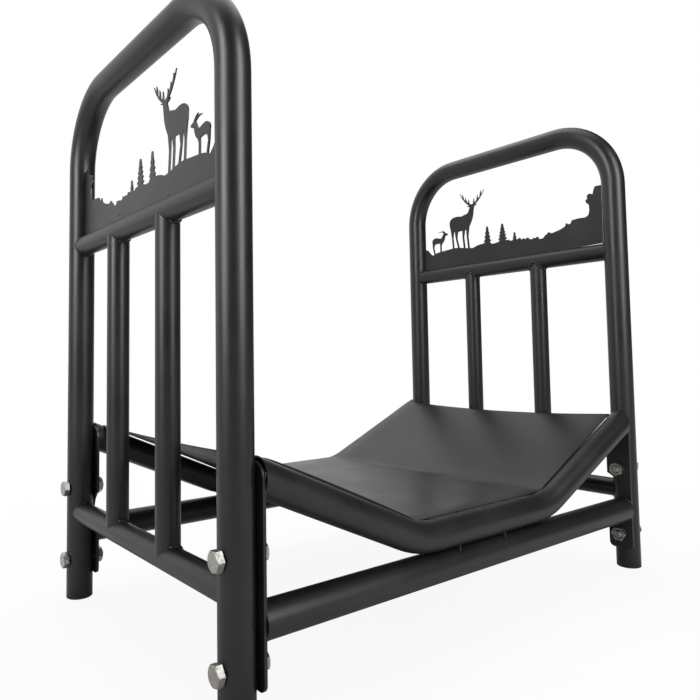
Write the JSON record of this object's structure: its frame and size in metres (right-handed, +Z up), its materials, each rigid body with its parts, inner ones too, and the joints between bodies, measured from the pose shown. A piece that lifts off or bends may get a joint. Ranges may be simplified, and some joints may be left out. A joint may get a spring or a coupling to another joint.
{
  "type": "firewood rack",
  "caption": "Free-standing firewood rack with bent-tube end hoops, barred ends with cut-out silhouette panels and a trough-shaped log cradle on base rails.",
  "frame": {"origin": "on the floor under the middle of the rack", "axes": "+X along the rack towards the right end frame, +Y towards the rear, +Z up"},
  "size_m": [0.6866, 0.426, 0.6519],
  "materials": {
    "frame_coat": "satin black powder coat on steel tube",
    "cradle_coat": "satin black powder coat on steel tube and strap",
    "panel_coat": "satin black powder coat on laser-cut sheet steel",
    "liner_coat": "satin black powder coat on bent sheet steel",
    "zinc": "zinc-plated steel",
    "cap_plastic": "moulded black polyethylene"
  },
  "bodies": {
    "root": {"left_hoop": "frame_coat", "left_upper_rail": "frame_coat", "left_lower_rail": "frame_coat", "left_panel": "panel_coat", "left_front_bar": "frame_coat", "left_front_bracket": "cradle_coat", "left_front_leg_cap": "cap_plastic", "left_front_bolts": "zinc", "left_front_nuts": "zinc", "left_rear_bar": "frame_coat", "left_rear_bracket": "cradle_coat", "left_rear_leg_cap": "cap_plastic", "left_rear_bolts": "zinc", "left_rear_nuts": "zinc", "right_hoop": "frame_coat", "right_upper_rail": "frame_coat", "right_lower_rail": "frame_coat", "right_panel": "panel_coat", "right_front_bar": "frame_coat", "right_front_bracket": "cradle_coat", "right_front_leg_cap": "cap_plastic", "right_front_bolts": "zinc", "right_front_nuts": "zinc", "right_rear_bar": "frame_coat", "right_rear_bracket": "cradle_coat", "right_rear_leg_cap": "cap_plastic", "right_rear_bolts": "zinc", "right_rear_nuts": "zinc", "front_cradle_tube": "cradle_coat", "front_base_rail": "cradle_coat", "rear_cradle_tube": "cradle_coat", "rear_base_rail": "cradle_coat", "liner": "liner_coat"}
  },
  "joints": []
}
